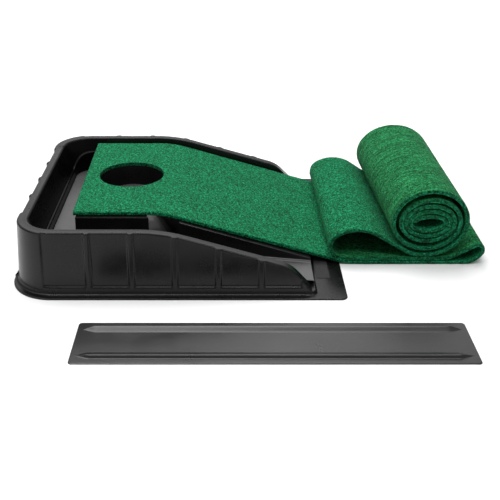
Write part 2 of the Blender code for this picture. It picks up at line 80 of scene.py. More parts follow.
# The felt's folds and roll, in the order that the felt runs through them.
EASE_RADIUS = 50.0
RIGHT_LIFT_X, RIGHT_LIFT_RADIUS, RIGHT_LIFT_ANGLE = 694.0, 30.0, math.radians(65)
RIGHT_LOOP_RADIUS, RIGHT_LOOP_TURN, RIGHT_LOOP_FALL = 9.0, math.radians(145), math.radians(30)
LEFT_LOOP_X, LEFT_LOOP_RADIUS, LEFT_LOOP_TURN = 481.0, 22.0, math.radians(150)
LEFT_CREST_RADIUS, LEFT_CREST_TURN, LEFT_LOOP_FALL = 60.0, math.radians(61), math.radians(31)
ROLL_X, ROLL_WIDTH, ROLL_HEIGHT = 633.0, 127.0, 117.0
HOLLOW_WIDTH, HOLLOW_HEIGHT = 38.0, 9.0
ROLL_TURNS, POINTS_PER_TURN = 4.75, 110
LOOSE_TURN = 0.8

# The camera, in the same plan.
CAMERA_PLACE, CAMERA_DOWN = (324.0, -1024.0, 613.0), math.radians(27.4)
CAMERA_LENS, CAMERA_SHIFT = 59.04, 0.044


def origin():
    """Where the tray's front left corner is in the row frame, in millimetres."""
    return np.array([TRAY_LOW[0], TRAY_LOW[1], 0.0]) * 1000


ORIGIN = origin()


def link(obj):
    bpy.context.scene.collection.objects.link(obj)
    return obj


def mesh_from(name, points, quads, materials, indices=None, smooth=True):
    """A mesh object from arrays of points, in tray millimetres, and of faces."""
    mesh = bpy.data.meshes.new(name)
    world = (np.asarray(points, float) + ORIGIN) * MM
    quads = np.asarray(quads, np.int32)
    mesh.vertices.add(len(world))
    mesh.vertices.foreach_set("co", world.ravel())
    mesh.loops.add(quads.size)
    mesh.loops.foreach_set("vertex_index", quads.ravel())
    mesh.polygons.add(len(quads))
    mesh.polygons.foreach_set(
        "loop_start", np.arange(0, quads.size, quads.shape[1], dtype=np.int32)
    )
    mesh.update(calc_edges=True)
    mesh.validate()
    for one in materials:
        mesh.materials.append(one)
    if indices is not None:
        mesh.polygons.foreach_set("material_index", np.asarray(indices, np.int32))
    mesh.polygons.foreach_set("use_smooth", np.full(len(mesh.polygons), smooth))
    mesh.update()
    return link(bpy.data.objects.new(name, mesh))


def grid_faces(rows, columns, wrap_columns=False):
    """Quads of a grid of points stored row by row."""
    i, j = np.meshgrid(
        np.arange(rows - 1), np.arange(columns if wrap_columns else columns - 1), indexing="ij"
    )
    k = (j + 1) % columns
    a, b = i * columns + j, i * columns + k
    return np.stack([a, b, b + columns, a + columns], -1).reshape(-1, 4)


def smooth_step(x, start, end):
    t = np.clip((np.asarray(x, float) - start) / (end - start), 0, 1)
    return t * t * (3 - 2 * t)


def waves(points, size, seed):
    """Smooth noise from -1 to 1 at each point, with features of about that size."""
    shift = Vector((seed * 17.3, seed * 5.1, seed * 9.7))
    return np.array([noise.noise(Vector(p) / size + shift) for p in points])


def arc(centre_x, centre_y, radius, start, end, steps):
    angles = np.linspace(start, end, steps + 1)
    return [(centre_x + radius * math.cos(a), centre_y + radius * math.sin(a)) for a in angles]


def rounded(corners, radii, steps):
    line = [corners[0]]
    for i in range(1, len(corners) - 1):
        before = (Vector(corners[i - 1]) - Vector(corners[i])).normalized()
        after = (Vector(corners[i + 1]) - Vector(corners[i])).normalized()
        radius = radii[i - 1]
        if radius == 0:
            line.append(corners[i])
            continue
        half = before.angle(after) / 2
        centre = Vector(corners[i]) + (before + after).normalized() * (radius / math.sin(half))
        start = Vector(corners[i]) + before * (radius / math.tan(half)) - centre
        end = Vector(corners[i]) + after * (radius / math.tan(half)) - centre
        first = math.atan2(start.y, start.x)
        turn = math.atan2(start.x * end.y - start.y * end.x, start.dot(end))
        line += arc(centre.x, centre.y, radius, first, first + turn, steps)
    line.append(corners[-1])
    return line


# Materials


def nodes_of(name):
    made = bpy.data.materials.new(name)
    made.use_nodes = True
    tree = made.node_tree
    return made, tree, tree.nodes["Principled BSDF"]


def add(tree, kind, **values):
    node = tree.nodes.new(kind)
    for key, value in values.items():
        if key in node.inputs:
            node.inputs[key].default_value = value
        else:
            setattr(node, key, value)
    return node


def ramp_of(tree, factor, stops):
    node = add(tree, "ShaderNodeValToRGB")
    elements = node.color_ramp.elements
    while len(elements) < len(stops):
        elements.new(0.5)
    for element, (place, colour) in zip(elements, stops):
        element.position = place
        element.color = (*colour, 1) if len(colour) == 3 else colour
    tree.links.new(factor, node.inputs["Fac"])
    return node.outputs["Color"]


def noise_of(tree, coordinates, scale, detail=2.0, roughness=0.5, distortion=0.0):
    node = add(tree, "ShaderNodeTexNoise")
    node.inputs["Scale"].default_value = scale
    node.inputs["Detail"].default_value = detail
    node.inputs["Roughness"].default_value = roughness
    node.inputs["Distortion"].default_value = distortion
    tree.links.new(coordinates, node.inputs["Vector"])
    return node.outputs["Fac"]


def grey(value):
    return (value, value, value)


def mapped(tree, value, from_min, from_max, to_min, to_max):
    node = add(tree, "ShaderNodeMapRange")
    limits = {"From Min": from_min, "From Max": from_max, "To Min": to_min, "To Max": to_max}
    for key, limit in limits.items():
        node.inputs[key].default_value = limit
    tree.links.new(value, node.inputs["Value"])
    return node.outputs[0]


def weighted(tree, value, share, base):
    """value times share, plus base."""
    node = add(tree, "ShaderNodeMath", operation="MULTIPLY_ADD")
    tree.links.new(value, node.inputs[0])
    node.inputs[1].default_value = share
    tree.links.new(base, node.inputs[2])
    return node.outputs[0]


def bumped(tree, height, strength, distance, shader):
    node = add(tree, "ShaderNodeBump")
    node.inputs["Strength"].default_value = strength
    node.inputs["Distance"].default_value = distance
    tree.links.new(height, node.inputs["Height"])
    tree.links.new(node.outputs[0], shader.inputs["Normal"])


def plastic(name, base, low, high, grain, gloss):
    """Formed sheet plastic: near black, with a faint grain, haze and handling marks."""
    made, tree, shader = nodes_of(name)
    where = add(tree, "ShaderNodeTexCoord").outputs["Object"]
    haze = noise_of(tree, where, 14.0, 4.0, 0.6)
    fine = noise_of(tree, where, 260.0, 3.0, 0.6)
    marks = noise_of(tree, where, 55.0, 3.0, 0.5, 0.3)
    rough = mapped(tree, weighted(tree, marks, 0.4, haze), 0.45, 1.0, low, high)
    tree.links.new(rough, shader.inputs["Roughness"])
    colour = ramp_of(tree, haze, [(0.3, grey(base * 0.75)), (0.7, grey(base * 1.3))])
    tree.links.new(colour, shader.inputs["Base Color"])
    bumped(tree, fine, grain, 0.0003, shader)
    shader.inputs["IOR"].default_value = 1.5
    shader.inputs["Specular IOR Level"].default_value = gloss
    return made


def felt(name, dark, mid, light, shares, along, strength):
    """Needle-punched felt: grains of pile, with fibres drawn out where along is under 1."""
    made, tree, shader = nodes_of(name)
    coordinates = add(tree, "ShaderNodeTexCoord")
    where = coordinates.outputs["Object"]
    place = add(tree, "ShaderNodeMapping")
    place.inputs["Scale"].default_value = (along, 1.0, 1.0)
    tree.links.new(coordinates.outputs["UV"], place.inputs["Vector"])
    grains = noise_of(tree, where, 520.0, 2.0, 0.6)
    tufts = noise_of(tree, where, 330.0, 1.0, 0.5, 0.4)
    drawn = noise_of(tree, place.outputs[0], 170.0, 4.0, 0.7, 1.2)
    patches = noise_of(tree, where, 28.0, 3.0, 0.55)
    tuft_share, spread = 0.8, 0.24
    total = weighted(tree, tufts, tuft_share, grains)
    total = weighted(tree, drawn, shares[0], total)
    total = weighted(tree, patches, shares[1], total)
    middle = 0.5 * (1 + tuft_share + sum(shares))
    level = mapped(tree, total, middle - spread, middle + spread, 0.0, 1.0)
    colour = ramp_of(tree, level, [(0.0, dark), (0.5, mid), (1.0, light)])
    tree.links.new(colour, shader.inputs["Base Color"])
    bumped(tree, level, strength, 0.0012, shader)
    shader.inputs["Roughness"].default_value = 0.95
    shader.inputs["Specular IOR Level"].default_value = 0.15
    shader.inputs["Sheen Weight"].default_value = 0.03
    shader.inputs["Sheen Roughness"].default_value = 0.5
    shader.inputs["Sheen Tint"].default_value = (0.45, 0.9, 0.55, 1.0)
    return made


def tape(name):
    """Woven black tape with a fine, matt grain."""
    made, tree, shader = nodes_of(name)
    where = add(tree, "ShaderNodeTexCoord").outputs["Object"]
    fine = noise_of(tree, where, 700.0, 3.0, 0.7)
    colour = ramp_of(tree, fine, [(0.3, grey(0.006)), (0.75, grey(0.035))])
    tree.links.new(colour, shader.inputs["Base Color"])
    bumped(tree, fine, 0.6, 0.0006, shader)
    shader.inputs["Roughness"].default_value = 0.8
    return made


BLACK = plastic("tray_black", 0.004, 0.23, 0.35, 0.2, 0.27)
# Painted shade: a darker, less glossy copy of the tray's black plastic for the bench, the tray's inner
# lower wall, so that it shows shaded.
SHADED_BENCH_BLACK = plastic("bench_shaded_black", 0.002, 0.24, 0.34, 0.2, 0.07)
# Painted light: a lighter, glossier copy of the tray's black plastic for the up-facing trough, channel
# and cup floors, so that they show lit.
LIT_FLOOR_BLACK = plastic("trough_lit_black", 0.03, 0.4, 0.52, 0.25, 0.95)
TRACK_BLACK = plastic("track_black", 0.012, 0.26, 0.38, 0.25, 0.55)
PILE = felt(
    "felt_pile", (0.0, 0.022, 0.008), (0.001, 0.118, 0.04), (0.016, 0.34, 0.15), (0.25, 0.1), 1.0, 0.9
)
BACK = felt(
    "felt_back", (0.0005, 0.03, 0.009), (0.004, 0.13, 0.038), (0.03, 0.3, 0.1), (1.0, 0.05), 0.16, 0.9
)
# The cut edge: a darker copy of the felt colour, partly the edge's own look and partly painted shade.
EDGE_WITH_SHADE = felt(
    "felt_edge_with_shade", (0.0, 0.012, 0.004), (0.001, 0.08, 0.03), (0.01, 0.2, 0.09), (0.2, 0.1), 1.0, 1.0
)
TAPE = tape("hook_tape")


# Tray


def set_back_share(values, ribs, start, end):
    """1 on a panel, 0 on a rib and where the corner columns begin."""
    values = np.asarray(values, float)
    share = smooth_step(values, start, start + 4.0) * (1 - smooth_step(values, end - 4.0, end))
    for middle in ribs:
        share = share * smooth_step(np.abs(values - middle), 1.8, RIB_HALF)
    return share


def wall_positions(ribs, start, end):
    places = set(np.linspace(start, end, int((end - start) / 3.0) + 1).round(3))
    for middle in [*ribs, end - 2.0]:
        places |= set(np.linspace(middle - 8.0, middle + 8.0, 23).round(3))
    places = np.array(sorted(p for p in places if start < p < end))
    keep = np.concatenate([[True], np.diff(places) > 0.25])
    return places[keep]


def rim_line():
    """The rim seen from the front: level, down beside the ramp, then steep to the lip."""
    steep_z = HEIGHT - (RIM_STEEP_START - RIM_LEVEL_END) * math.tan(RAMP)
    corners = [
        (-20, HEIGHT),
        (RIM_LEVEL_END, HEIGHT),
        (RIM_STEEP_START, steep_z),
        (RIM_STEEP_END, CHANNEL_END_Z),
        (LENGTH + 21, CHANNEL_END_Z),
    ]
    return np.array(rounded(corners, (250.0, 60.0, 0), 16))


RIM = rim_line()


def rim_z(x):
    return np.interp(x, RIM[:, 0], RIM[:, 1])


def floor_z(x):
    x = np.asarray(x, float)
    slope = (TROUGH_Z - CHANNEL_END_Z) / (BODY_RIGHT - TROUGH_RIGHT)
    return TROUGH_Z - slope * np.maximum(x - TROUGH_RIGHT, 0)


def loop(left, right, front, back, left_radius, right_radius):
    """Points and inward directions of a rounded rectangle, with matching stations."""
    long = wall_positions(RIBS_LONG, FLANGE_LEFT + WALL_CORNER, BODY_RIGHT - END_CORNER)
    short = wall_positions(RIBS_SHORT, FLANGE_SIDE + WALL_CORNER, WIDTH - FLANGE_SIDE - WALL_CORNER)
    points, inward = [], []

    def corner(centre_x, centre_y, radius, first, steps):
        for a in np.linspace(first, first + math.pi / 2, steps):
            points.append((centre_x + radius * math.cos(a), centre_y + radius * math.sin(a)))
            inward.append((-math.cos(a), -math.sin(a)))

    points += [(x, front) for x in long]
    inward += [(0, 1)] * len(long)
    corner(right - right_radius, front + right_radius, right_radius, -math.pi / 2, 12)
    ends = np.linspace(front + right_radius, back - right_radius, 40)[1:-1]
    points += [(right, y) for y in ends]
    inward += [(-1, 0)] * len(ends)
    corner(right - right_radius, back - right_radius, right_radius, 0, 12)
    points += [(x, back) for x in long[::-1]]
    inward += [(0, -1)] * len(long)
    corner(left + left_radius, back - left_radius, left_radius, math.pi / 2, CORNER_POINTS)
    points += [(left, y) for y in short[::-1]]
    inward += [(1, 0)] * len(short)
    corner(left + left_radius, front + left_radius, left_radius, math.pi, CORNER_POINTS)
    share = np.concatenate(
        [
            set_back_share(long, RIBS_LONG, FLANGE_LEFT, BODY_RIGHT - END_CORNER),
            np.zeros(12 + len(ends) + 12),
            set_back_share(long, RIBS_LONG, FLANGE_LEFT, BODY_RIGHT - END_CORNER)[::-1],
            1 - smooth_step(np.linspace(0, 90, CORNER_POINTS), 14.0, 17.0),
            set_back_share(short, RIBS_SHORT, RIBS_SHORT[0] - 4.0, RIBS_SHORT[-1] + 4.0)[::-1],
            smooth_step(np.linspace(0, 90, CORNER_POINTS), 73.0, 76.0),
        ]
    )
    return np.array(points), np.array(inward), share


def make_shell():
    """Flange, skirt, ribbed wall, rim and inner wall, as one formed sheet."""
    foot, inward, share = loop(
        FLANGE_LEFT, BODY_RIGHT, FLANGE_SIDE, WIDTH - FLANGE_SIDE, WALL_CORNER, END_CORNER
    )
    edge, _, _ = loop(0, LENGTH, 0, WIDTH, FLANGE_CORNER, LIP_CORNER)
    inner, _, _ = loop(
        FLANGE_LEFT + RIM_LEFT,
        BODY_RIGHT - RIM_SIDE,
        FLANGE_SIDE + RIM_SIDE,
        WIDTH - FLANGE_SIDE - RIM_SIDE,
        INNER_CORNER,
        3.0,
    )
    outward = edge - foot
    reach = np.linalg.norm(outward, axis=1, keepdims=True)
    outward = outward / reach
    height = rim_z(foot[:, 0])
    low = np.minimum(height, HEIGHT) - SHEET
    rows = []

    def row(plan, z):
        rows.append(np.column_stack([plan, np.broadcast_to(z, len(plan))]))

    for back, z in ((0.0, 0.0), (0.0, 1.1), (0.25, 1.75), (0.8, 2.1), (1.6, SHEET)):
        row(edge - outward * back, z)
    cove = np.minimum(4.0, low * 0.4)[:, None]
    for part in (0.33, 0.66, 1.0):
        start, end = edge - outward * 1.6, foot - inward * cove
        buckle = 0.15 * waves(np.column_stack([start, np.zeros(len(start))]), 35.0, 3)
        row(start + (end - start) * part, SHEET + buckle * (part < 1))
    for a in np.linspace(0, math.pi / 2, 7)[1:]:
        row(foot - inward * cove * (1 - math.sin(a)), SHEET + cove[:, 0] * (1 - math.cos(a)))
    crown = np.minimum(2.6, low * 0.35)
    bottom, top = SHEET + cove[:, 0], height - crown
    ledge = np.minimum(SKIRT + 4.5, bottom + (top - bottom) * 0.6)
    levels = [bottom + (ledge - bottom) * t for t in np.linspace(0.06, 1.0, 18)]
    levels += [ledge + (top - ledge) * t for t in np.linspace(0.05, 1.0, 20)]
    for z in levels:
        set_back = RECESS * share * smooth_step(z, LEDGE_LOW, LEDGE_HIGH)
        wave = waves(np.column_stack([foot, z]), 38.0, 1) * 0.35 * smooth_step(z, SKIRT, SKIRT + 12)
        row(foot + inward * (WALL_DRAFT * z + set_back + wave * share)[:, None], z)
    set_back = RECESS * share * smooth_step(top, LEDGE_LOW, LEDGE_HIGH)
    brow = foot + inward * (WALL_DRAFT * top + set_back)[:, None]
    for a in np.linspace(0, math.pi / 2, 7)[1:]:
        row(brow + inward * (crown * (1 - math.cos(a)))[:, None], top + crown * math.sin(a))
    start = brow + inward * crown[:, None]
    inner_crown = np.minimum(2.2, low * 0.35)
    end = inner - inward * inner_crown[:, None]
    for part in (0.2, 0.5, 0.8):
        dish = -0.35 * math.sin(math.pi * part)
        row(start + (end - start) * part, height + dish)
    for a in np.linspace(0, math.pi / 2, 7):
        row(
            inner - inward * (inner_crown * (1 - math.sin(a)))[:, None],
            height - inner_crown * (1 - math.cos(a)),
        )
    ground = floor_z(np.clip(foot[:, 0], 0, BODY_RIGHT)) - 3.0
    start_z = height - inner_crown
    for part in (0.15, 0.35, 0.6, 0.85, 1.0):
        z = start_z + (np.minimum(ground, start_z - 1.0) - start_z) * part
        row(inner + inward * (INNER_DRAFT * (height - z))[:, None], z)
    points = np.concatenate(rows)
    faces = grid_faces(len(rows), len(foot), wrap_columns=True)
    return mesh_from("tray_shell", points, faces, [BLACK])


def stations(start, end, step, dense=()):
    """Grid lines from start to end, with finer ones within 7 of each dense place."""
    places = set(np.arange(start, end, step).round(3)) | {start, end}
    for middle in dense:
        places |= set(np.arange(middle - 7, middle + 7, 0.6).round(3))
    places = np.array(sorted(p for p in places if start <= p <= end))
    return places[np.concatenate([[True], np.diff(places) > 0.2])]


def cove_up(distance, radius):
    """How far a floor curls up a wall at a distance from it."""
    d = np.clip(radius - distance, 0, radius)
    return radius - np.sqrt(np.maximum(radius * radius - d * d, 0))


def make_floor():
    """Trough and sloping channel, curling up where they meet the walls."""
    x = stations(26.0, BODY_RIGHT - 1.5, 4.0, (TROUGH_RIGHT, 48.0))
    y = stations(33.0, WIDTH - 33.0, 4.0, (38.5, 100.0, WIDTH - 38.0))
    grid_x, grid_y = np.meshgrid(x, y, indexing="ij")
    bend = 14.0
    over = grid_x - TROUGH_RIGHT - 10
    slope = (TROUGH_Z - CHANNEL_END_Z) / (BODY_RIGHT - TROUGH_RIGHT)
    soft = 0.5 * (over + np.sqrt(over * over + bend * bend))
    z = TROUGH_Z - slope * soft
    near_wall = FLANGE_SIDE + RIM_SIDE + INNER_DRAFT * (rim_z(grid_x) - z)
    z = z + cove_up(np.maximum(grid_y - near_wall, 0), 5.0)
    deck_wall = DECK_FRONT - DECK_DRAFT * (DECK_Z - z)
    in_channel = (grid_x > TROUGH_RIGHT - 3) & (grid_y <= deck_wall + 1)
    z = z + np.where(in_channel, cove_up(np.maximum(deck_wall - grid_y, 0), 4.0), 0)
    points = np.stack([grid_x, grid_y, z], -1).reshape(-1, 3)
    # The floor's left corners end under the rounded inner wall.
    most = INNER_CORNER + 3.0
    for centre_y, side in ((INNER_CORNER_FRONT, -1), (INNER_CORNER_BACK, 1)):
        off = points[:, :2] - (INNER_CORNER_X, centre_y)
        reach = np.linalg.norm(off, axis=1)
        corner = (off[:, 0] < 0) & (off[:, 1] * side > 0) & (reach > most)
        points[corner, :2] -= off[corner] * (1 - most / reach[corner])[:, None]
    points[:, 2] += 0.25 * waves(points, 45.0, 5)
    # The floor takes the lighter lit copy of the black plastic: painted light.
    return mesh_from("tray_floor", points, grid_faces(len(x), len(y)), [LIT_FLOOR_BLACK])


def prism(name, near, far):
    """A closed solid between two outlines with the same number of points."""
    count = len(near)
    shape = bmesh.new()
    verts = [shape.verts.new((np.array(p) + ORIGIN) * MM) for p in [*near, *far]]
    shape.faces.new(verts[:count])
    shape.faces.new(verts[count:][::-1])
    for i in range(count):
        j = (i + 1) % count
        shape.faces.new([verts[i], verts[j], verts[count + j], verts[count + i]])
    bmesh.ops.recalc_face_normals(shape, faces=shape.faces)
    mesh = bpy.data.meshes.new(name)
    shape.to_mesh(mesh)
    shape.free()
    return link(bpy.data.objects.new(name, mesh))


def cut(target, other):
    change = target.modifiers.new("cut", "BOOLEAN")
    change.object = other
    change.operation = "DIFFERENCE"
    change.solver = "EXACT"
    apply_modifiers(target)
    bpy.data.objects.remove(other)


def apply_modifiers(obj):
    graph = bpy.context.evaluated_depsgraph_get()
    made = bpy.data.meshes.new_from_object(obj.evaluated_get(graph))
    obj.modifiers.clear()
    old = obj.data
    obj.data = made
    bpy.data.meshes.remove(old)


def soften(obj, width, segments=4):
    """Rounds the sharp edges of a block, as the formed sheet does."""
    weld = obj.modifiers.new("weld", "WELD")
    weld.merge_threshold = 0.00005
    bevel = obj.modifiers.new("round", "BEVEL")
    bevel.width = width * MM
    bevel.segments = segments
    bevel.limit_method = "ANGLE"
    bevel.angle_limit = math.radians(32)
    bevel.harden_normals = False
    apply_modifiers(obj)
    obj.data.materials.clear()
    obj.data.materials.append(BLACK)
    for face in obj.data.polygons:
        face.material_index = 0
    obj.data.shade_smooth()
    obj.data.set_sharp_from_angle(angle=math.radians(50))


def make_deck():
    """The deck and ramp that carry the felt, with the cup and its gutter."""
    foot_z = DECK_Z - (BODY_RIGHT - CREST) * math.tan(RAMP)
    corners = [(TROUGH_RIGHT, DECK_Z), (CREST, DECK_Z), (BODY_RIGHT - SHEET, foot_z)]
    line = rounded(corners, (CREST_RADIUS,), 24)
    outline = line + [(BODY_RIGHT - 0.5, SHEET + 0.4), (TROUGH_RIGHT - 2.0, SHEET + 0.4)]
    near = [(x, DECK_FRONT - DECK_DRAFT * (DECK_Z - z), z) for x, z in outline]
    far = [(x, WIDTH - 31.0, z) for x, z in outline]
    deck = prism("tray_deck", near, far)
    start, exit_point = Vector((HOLE_X, HOLE_Y)), Vector(GUTTER_EXIT)
    along = (exit_point - start).normalized()
    fall = (GUTTER_START_Z - GUTTER_EXIT_Z) / (exit_point - start).length
    circle = arc(0, 0, 1.0, 0, 2 * math.pi * (1 - 1 / 72), 71)
    # The cup's floor lies just under the gutter and falls with it.
    low = [(HOLE_X + c * CUP_LOW_RADIUS, HOLE_Y + s * CUP_LOW_RADIUS) for c, s in circle]
    high = [(HOLE_X + c * CUP_HIGH_RADIUS, HOLE_Y + s * CUP_HIGH_RADIUS, CUTTER_TOP) for c, s in circle]
    level = [along.dot(Vector(point) - start) * fall for point in low]
    floor = [(x, y, GUTTER_START_Z - 0.5 - down) for (x, y), down in zip(low, level)]
    cut(deck, prism("cup", floor, high))
    side = Vector((-along.y, along.x)) * GUTTER_WIDTH / 2
    ends = []
    for point, z in ((start, GUTTER_START_Z), (exit_point, GUTTER_EXIT_Z)):
        a, b = point - side, point + side
        across = np.linspace(0, 1, 9)
        bowl = [(*a.lerp(b, t), z + 9.0 * (2 * t - 1) ** 4) for t in across]
        ends.append([*bowl, (b.x, b.y, CUTTER_TOP), (a.x, a.y, CUTTER_TOP)])
    cut(deck, prism("gutter", *ends))
    soften(deck, 2.2)
    # Painted light: up-facing faces low in the cup and gutter, short of the ramp, take the lighter lit
    # copy of the black plastic.
    deck.data.materials.append(LIT_FLOOR_BLACK)
    ramp_start = (245.0 + ORIGIN[0]) * MM
    for face in deck.data.polygons:
        if face.normal.z > 0.85 and face.center.z < 62 * MM and face.center.x < ramp_start:
            face.material_index = 1
    return deck


def make_bench():
    """The leaning lower wall, its rounded nose and the riser, round the trough's left and back."""
    crown, nose = [], []
    start_y, corner_y = INNER_CORNER_FRONT - 42.0, INNER_CORNER_BACK
    for t in np.linspace(0, 1, 60):
        y = start_y + (corner_y - start_y) * t
        into_corner = max(INNER_CORNER_FRONT - y, 0.0)
        corner_x = INNER_CORNER_X - math.sqrt(BENCH_CROWN_RADIUS**2 - into_corner**2)
        crown.append((min(corner_x, BENCH_NOSE_X - 1.0), y))
        nose.append((BENCH_NOSE_X, y))
    nose_centre_x = BENCH_NOSE_X + BENCH_NOSE_RADIUS
    crown += arc(INNER_CORNER_X, corner_y, BENCH_CROWN_RADIUS, math.pi, math.pi / 2, 31)[1:]
    nose += arc(nose_centre_x, corner_y, BENCH_NOSE_RADIUS, math.pi, math.pi / 2, 31)[1:]
    for t in np.linspace(0, 1, 12)[1:]:
        crown.append((INNER_CORNER_X + 26.0 * t, corner_y + BENCH_CROWN_RADIUS))
        nose.append((nose_centre_x + 20.0 * t, corner_y + BENCH_NOSE_RADIUS))
    crown, nose = np.array(crown), np.array(nose)
    climb = smooth_step(nose[:, 1], corner_y - 2.0, corner_y + BENCH_NOSE_RADIUS)
    crown_z = np.full(len(crown), BENCH_CROWN_Z)
    nose_z = BENCH_NOSE_Z + BENCH_CLIMB * climb
    inward = nose - crown
    inward = inward / np.linalg.norm(inward, axis=1, keepdims=True)
    rows = []

    def row(plan, z):
        rows.append(np.column_stack([plan, z]))

    lead, rise, drop, cove = 3.2, 1.6, 3.4, 3.0
    for t in np.linspace(0, 1, 24):
        bulge_z = 0.36 * math.sin(math.pi * t)
        z = crown_z + (nose_z + rise - crown_z) * t + bulge_z
        row(crown + (nose - inward * lead - crown) * t, z)
    for a in np.linspace(0, math.pi / 2, 8)[1:]:
        row(nose - inward * lead * (1 - math.sin(a)), nose_z + rise - drop * (1 - math.cos(a)))
    foot, edge_z = TROUGH_Z - 0.5, nose_z + rise - drop
    for t in np.linspace(0, 1, 10)[1:]:
        row(nose + inward * (0.6 * t), edge_z + (foot + cove - edge_z) * t)
    for a in np.linspace(0, math.pi / 2, 6)[1:]:
        out = 0.6 + cove * (1 - math.cos(a))
        row(nose + inward * out, foot + cove - 3.2 * math.sin(a) + np.zeros(len(nose)))
    faces = grid_faces(len(rows), len(nose))
    # The bench takes the darker shaded copy of the black plastic: painted shade.
    bench = mesh_from("tray_bench", np.concatenate(rows), faces, [SHADED_BENCH_BLACK])
    thicken(bench, 1.6)
    return bench


# Felt mat


def straight(path, length, step=3.0):
    x, z, heading = path[-1]
    count = max(1, math.ceil(length / step))
    for i in range(1, count + 1):
        run = length * i / count
        path.append((x + run * math.cos(heading), z + run * math.sin(heading), heading))


def bend(path, radius, angle):
    x, z, heading = path[-1]
    side = math.copysign(1, angle)
    centre_x = x - side * radius * math.sin(heading)
    centre_z = z + side * radius * math.cos(heading)
    count = math.ceil(abs(angle) * max(radius, 12.0) / 2.5)
    for i in range(1, count + 1):
        a = heading + angle * i / count
        path.append((centre_x + side * radius * math.sin(a), centre_z - side * radius * math.cos(a), a))


def fall_length(path, target_z, radius):
    z, heading = path[-1][1:]
    return (z - target_z - radius * (1 - abs(math.cos(heading)))) / abs(math.sin(heading))


def roll_points(bottom_z):
    """The spiral of the roll, from its lowest point at bottom_z inwards, with headings."""
    wide, high = (ROLL_WIDTH - FELT) / 2, (ROLL_HEIGHT - FELT) / 2
    inner_wide, inner_high = (HOLLOW_WIDTH + FELT) / 2, (HOLLOW_HEIGHT + FELT) / 2
    count = int(ROLL_TURNS * POINTS_PER_TURN)
    part = np.arange(count + 1) / count
    turned = part * ROLL_TURNS
    angle = -math.pi / 2 + 2 * math.pi * ROLL_TURNS * part
    # The first turn lies loose, with a gap on its left and top, and the rest is wound tight.
    share = (turned + LOOSE_TURN * smooth_step(turned, 0.5, 1.75)) / (ROLL_TURNS + LOOSE_TURN)
    xs = ROLL_X + (wide + (inner_wide - wide) * share) * np.cos(angle)
    zs = bottom_z + high + (high + (inner_high - high) * share) * np.sin(angle)
    points = []
    for i in range(1, count + 1):
        k = min(i + 1, count)
        points.append((xs[i], zs[i], math.atan2(zs[k] - zs[i - 1], xs[k] - xs[i - 1])))
    return points


def mat_path():
    """The middle of the felt, from its cup end to the end inside the roll."""
    second_z = FELT / 2 + FELT + LAYER_GAP
    third_z = second_z + FELT + LAYER_GAP
    path = [(MAT_START, DECK_Z + SEAT_GAP + FELT / 2, 0.0)]
    straight(path, CREST - CREST_RADIUS * math.tan(RAMP / 2) - MAT_START)
    bend(path, CREST_RADIUS + SEAT_GAP + FELT / 2, -RAMP)
    straight(path, fall_length(path, FELT / 2, EASE_RADIUS))
    bend(path, EASE_RADIUS, RAMP)
    straight(path, RIGHT_LIFT_X - path[-1][0])
    bend(path, RIGHT_LIFT_RADIUS, RIGHT_LIFT_ANGLE)
    bend(path, RIGHT_LOOP_RADIUS, RIGHT_LOOP_TURN)
    straight(path, fall_length(path, second_z, EASE_RADIUS))
    bend(path, EASE_RADIUS, -RIGHT_LOOP_FALL)
    straight(path, path[-1][0] - (LEFT_LOOP_X + FELT / 2 + LEFT_LOOP_RADIUS))
    bend(path, LEFT_LOOP_RADIUS, -LEFT_LOOP_TURN)
    bend(path, LEFT_CREST_RADIUS, -LEFT_CREST_TURN)
    straight(path, fall_length(path, third_z, EASE_RADIUS))
    bend(path, EASE_RADIUS, LEFT_LOOP_FALL)
    straight(path, ROLL_X - path[-1][0])
    return np.array(path + roll_points(third_z))


PATH = mat_path()
RUN = np.concatenate([[0], np.cumsum(np.hypot(*np.diff(PATH[:, :2], axis=0).T))])
ROLL_START = RUN[-int(ROLL_TURNS * POINTS_PER_TURN) - 1]
LOOP_RUN = RUN[np.argmin(np.where(RUN > 700.0, PATH[:, 0], 1e6))]


